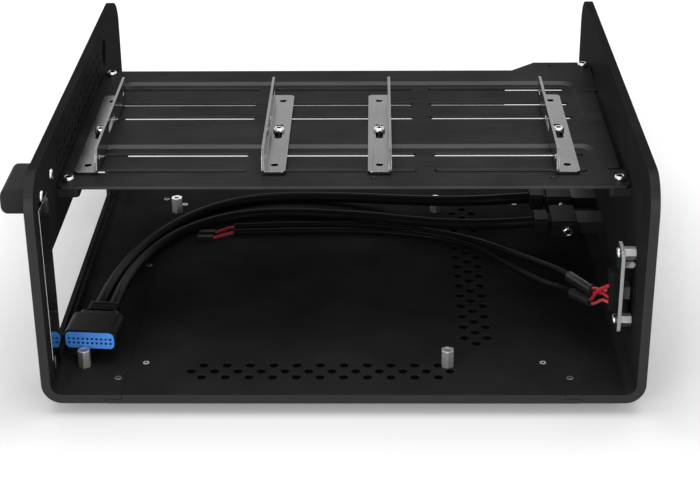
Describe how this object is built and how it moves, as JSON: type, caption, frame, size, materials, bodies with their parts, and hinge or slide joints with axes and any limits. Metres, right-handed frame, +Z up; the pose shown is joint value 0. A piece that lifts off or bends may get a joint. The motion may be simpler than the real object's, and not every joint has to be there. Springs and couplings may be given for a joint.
{
  "type": "mini-itx computer case",
  "caption": "Open-sided mini-ITX computer case in black aluminium with rear I/O aperture, slotted drive tray and angle brackets, switch board, panel USB sockets and loose leads.",
  "frame": {"origin": "middle of the footprint, on the surface under the feet", "axes": "+Z up, +X from the rear wall to the front wall, +Y from the open near side to the far side"},
  "size_m": [0.2624, 0.2426, 0.105],
  "materials": {
    "black_aluminium": "fine sand-textured black anodised",
    "tray_aluminium": "black anodised, faint brush",
    "bracket_steel": "plain sheet steel",
    "fastener_steel": "bright plated",
    "foot_rubber": "matt",
    "black_plastic": "satin moulded",
    "board_laminate": "satin circuit board",
    "button_metal": "satin black anodised",
    "light_lens": "clear moulded",
    "socket_steel": "bright plated",
    "blue_plastic": "satin moulded blue",
    "cable_sheath": "satin flexible sheath",
    "wire_red": "satin wire insulation"
  },
  "bodies": {
    "chassis": {"base_plate": "black_aluminium", "board_header": "black_plastic", "board_standoffs": "fastener_steel", "bracket_nuts": "fastener_steel", "bracket_screws": "fastener_steel", "drive_tray": "tray_aluminium", "foot_screws": "fastener_steel", "front_panel": "black_aluminium", "header_insert": "blue_plastic", "header_shell": "black_plastic", "lap_screws": "fastener_steel", "lead_plug": "black_plastic", "lead_sleeve_1": "cable_sheath", "lead_sleeve_2": "cable_sheath", "lead_tail_1": "wire_red", "lead_tail_2": "wire_red", "panel_lead_1": "cable_sheath", "panel_lead_2": "cable_sheath", "panel_wire_1": "wire_red", "panel_wire_2": "wire_red", "panel_wire_3": "wire_red", "panel_wire_4": "wire_red", "pin_plug_1": "black_plastic", "pin_plug_2": "black_plastic", "power_switch": "black_plastic", "rear_panel": "black_aluminium", "rubber_foot_1": "foot_rubber", "rubber_foot_2": "foot_rubber", "rubber_foot_3": "foot_rubber", "rubber_foot_4": "foot_rubber", "slot_blank": "bracket_steel", "slot_cover": "black_plastic", "slot_cover_screws": "fastener_steel", "status_light": "light_lens", "switch_board": "board_laminate", "switch_board_screws": "fastener_steel", "switch_board_spacers": "fastener_steel", "tray_screws": "fastener_steel", "tray_shelf_far_front": "black_aluminium", "tray_shelf_far_rear": "black_aluminium", "tray_shelf_near_front": "black_aluminium", "tray_shelf_near_rear": "black_aluminium", "usb_body_1": "black_plastic", "usb_body_2": "black_plastic", "usb_body_screws": "fastener_steel", "usb_cable_1": "cable_sheath", "usb_cable_2": "cable_sheath", "usb_shell_1": "socket_steel", "usb_shell_2": "socket_steel", "usb_tongue_1": "blue_plastic", "usb_tongue_2": "blue_plastic"},
    "power_button": {"power_button": "button_metal", "switch_plunger": "black_plastic"},
    "drive_bracket_1": {"drive_bracket_1": "bracket_steel"},
    "drive_bracket_2": {"drive_bracket_2": "bracket_steel"},
    "drive_bracket_3": {"drive_bracket_3": "bracket_steel"},
    "drive_bracket_4": {"drive_bracket_4": "bracket_steel"}
  },
  "joints": [
    {"name": "power_button_press", "type": "slide", "parent": "chassis", "child": "power_button", "axis": [-1, 0, 0], "range_m": [0, 0.0006], "stiffness_N_per_m": 1500, "springref_m": -0.0003},
    {"name": "bracket_1_slide", "type": "slide", "parent": "chassis", "child": "drive_bracket_1", "axis": [0, 1, 0], "range_m": [-0.004, 0.0067]},
    {"name": "bracket_2_slide", "type": "slide", "parent": "chassis", "child": "drive_bracket_2", "axis": [0, 1, 0], "range_m": [-0.0067, 0.0067]},
    {"name": "bracket_3_slide", "type": "slide", "parent": "chassis", "child": "drive_bracket_3", "axis": [0, 1, 0], "range_m": [-0.0067, 0.0067]},
    {"name": "bracket_4_slide", "type": "slide", "parent": "chassis", "child": "drive_bracket_4", "axis": [0, 1, 0], "range_m": [-0.0067, 0.0067]}
  ]
}
